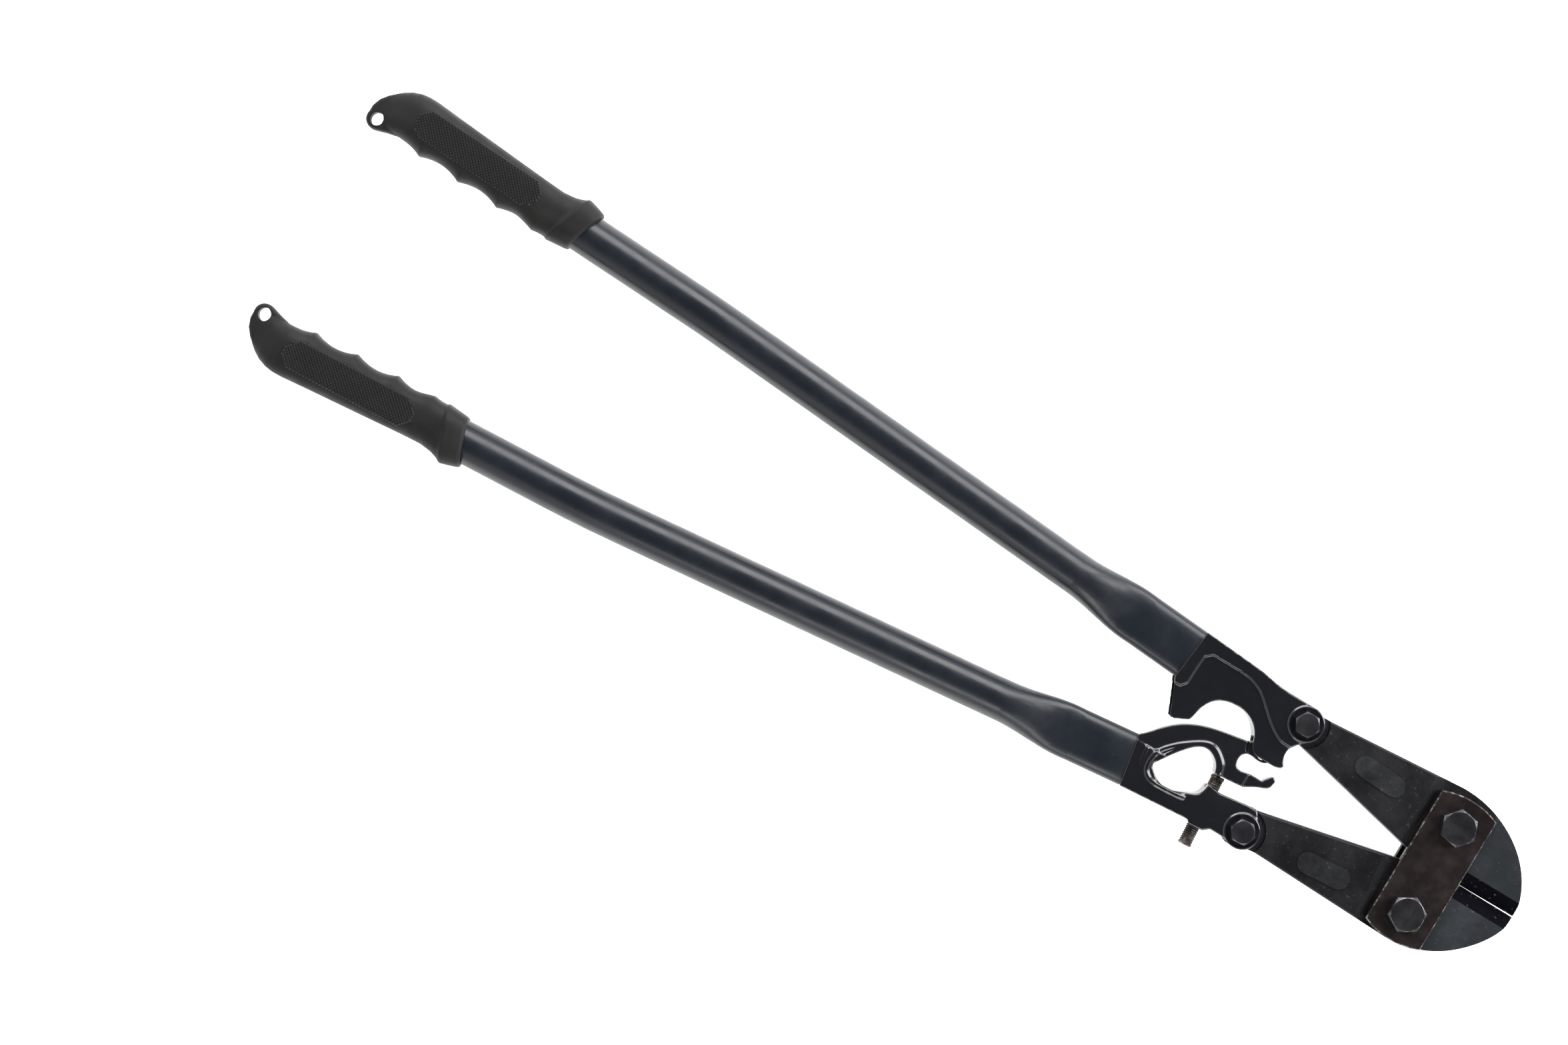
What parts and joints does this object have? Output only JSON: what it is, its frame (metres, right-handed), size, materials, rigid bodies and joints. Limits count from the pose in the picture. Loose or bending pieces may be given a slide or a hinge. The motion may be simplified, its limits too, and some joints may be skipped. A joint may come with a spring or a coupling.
{
  "type": "bolt cutters",
  "caption": "Long-handled bolt cutters with compound-lever jaws, bolted side plates, cast connectors, an adjusting screw, steel tube handles and rubber grips.",
  "frame": {"origin": "midway between the two blade bolts, in the tool's mid-plane, where the closed blades' heels meet", "axes": "+X to the jaw tips, +Y to the upper handle, +Z out of the face that the bolt heads are on"},
  "size_m": [0.7842, 0.1783, 0.042],
  "materials": {
    "blade_steel": "dark oxide with ground, blued jaw faces",
    "side_plate": "dark oxide, edges worn bright",
    "fastener": "black oxide, satin",
    "adjusting_screw": "brownish oxide, satin",
    "connector": "thick gloss black paint over a casting",
    "tube": "satin blue-black paint",
    "grip": "matte moulded rubber with a knurled panel"
  },
  "bodies": {
    "head": {"front_side_plate": "side_plate", "rear_side_plate": "side_plate", "upper_blade_bolt": "fastener", "lower_blade_bolt": "fastener", "upper_blade_washer": "fastener", "lower_blade_washer": "fastener", "upper_blade_nut": "fastener", "lower_blade_nut": "fastener"},
    "upper_jaw": {"upper_blade": "blade_steel"},
    "lower_jaw": {"lower_blade": "blade_steel"},
    "upper_handle": {"upper_connector": "connector", "upper_tube": "tube", "upper_grip": "grip", "upper_joint_bolt": "fastener", "upper_joint_washer": "fastener", "upper_joint_nut": "fastener", "centre_pin": "fastener"},
    "lower_handle": {"lower_connector": "connector", "lower_tube": "tube", "lower_grip": "grip", "lower_joint_bolt": "fastener", "lower_joint_washer": "fastener", "lower_joint_nut": "fastener"},
    "adjuster": {"adjusting_screw": "adjusting_screw"}
  },
  "joints": [
    {"name": "upper_jaw_pivot", "type": "hinge", "parent": "head", "child": "upper_jaw", "pos_m": [0, 0.02805, 0], "axis": [0, 0, 1], "range_deg": [0, 8]},
    {"name": "lower_jaw_pivot", "type": "hinge", "parent": "head", "child": "lower_jaw", "pos_m": [0, -0.02805, 0], "axis": [0, 0, 1], "range_deg": [-8, 0]},
    {"name": "upper_handle_pivot", "type": "hinge", "parent": "upper_jaw", "child": "upper_handle", "pos_m": [-0.1017, 0.034, 0], "axis": [0, 0, 1], "range_deg": [-68.3, 0]},
    {"name": "lower_handle_pivot", "type": "hinge", "parent": "lower_jaw", "child": "lower_handle", "pos_m": [-0.1017, -0.036, 0], "axis": [0, 0, 1], "range_deg": [0, 28.9]},
    {"name": "adjusting_screw_turn", "type": "hinge", "parent": "lower_handle", "child": "adjuster", "pos_m": [-0.1253, -0.0473, 0], "axis": [-0.0732, 0.9973, 0], "range_deg": [-180, 180]}
  ],
  "couplings": [
    {"joint": "upper_jaw_pivot", "follows": "lower_handle_pivot", "ratio": 0.27672},
    {"joint": "lower_jaw_pivot", "follows": "lower_handle_pivot", "ratio": -0.27672},
    {"joint": "upper_handle_pivot", "follows": "lower_handle_pivot", "ratio": -2.3606}
  ]
}
